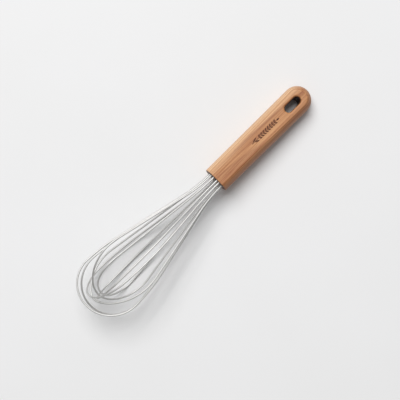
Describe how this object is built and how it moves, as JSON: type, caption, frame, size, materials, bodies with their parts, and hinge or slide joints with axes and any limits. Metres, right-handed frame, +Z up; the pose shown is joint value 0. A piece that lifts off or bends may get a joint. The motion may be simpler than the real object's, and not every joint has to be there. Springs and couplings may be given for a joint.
{
  "type": "balloon whisk",
  "caption": "Balloon whisk with nested steel wire loops held in a flared wooden handle, planed flat above and below, with a rounded end and a hanging slot.",
  "frame": {"origin": "on the table, under the middle of the whisk's outer box in its lying pose", "axes": "+X along the whisk towards the hanging end of the handle, +Y sideways, +Z up from the table; the whisk's own axis is raised 4.63 degrees towards the balloon"},
  "size_m": [0.2942, 0.065, 0.0618],
  "materials": {
    "handle_wood": "oiled beech-like hardwood, satin",
    "wire_steel": "satin drawn stainless wire",
    "seal_resin": "cast dark resin, semi-matt",
    "core_nylon": "natural nylon, matt",
    "sleeve_steel": "plain rolled stainless strip"
  },
  "bodies": {
    "root": {"handle": "handle_wood", "mouth_seal": "seal_resin", "wire_core": "core_nylon", "retaining_sleeve": "sleeve_steel", "wire_loop_1": "wire_steel", "wire_loop_2": "wire_steel", "wire_loop_3": "wire_steel", "wire_loop_4": "wire_steel", "wire_loop_5": "wire_steel", "wire_loop_6": "wire_steel", "wire_loop_7": "wire_steel"}
  },
  "joints": []
}
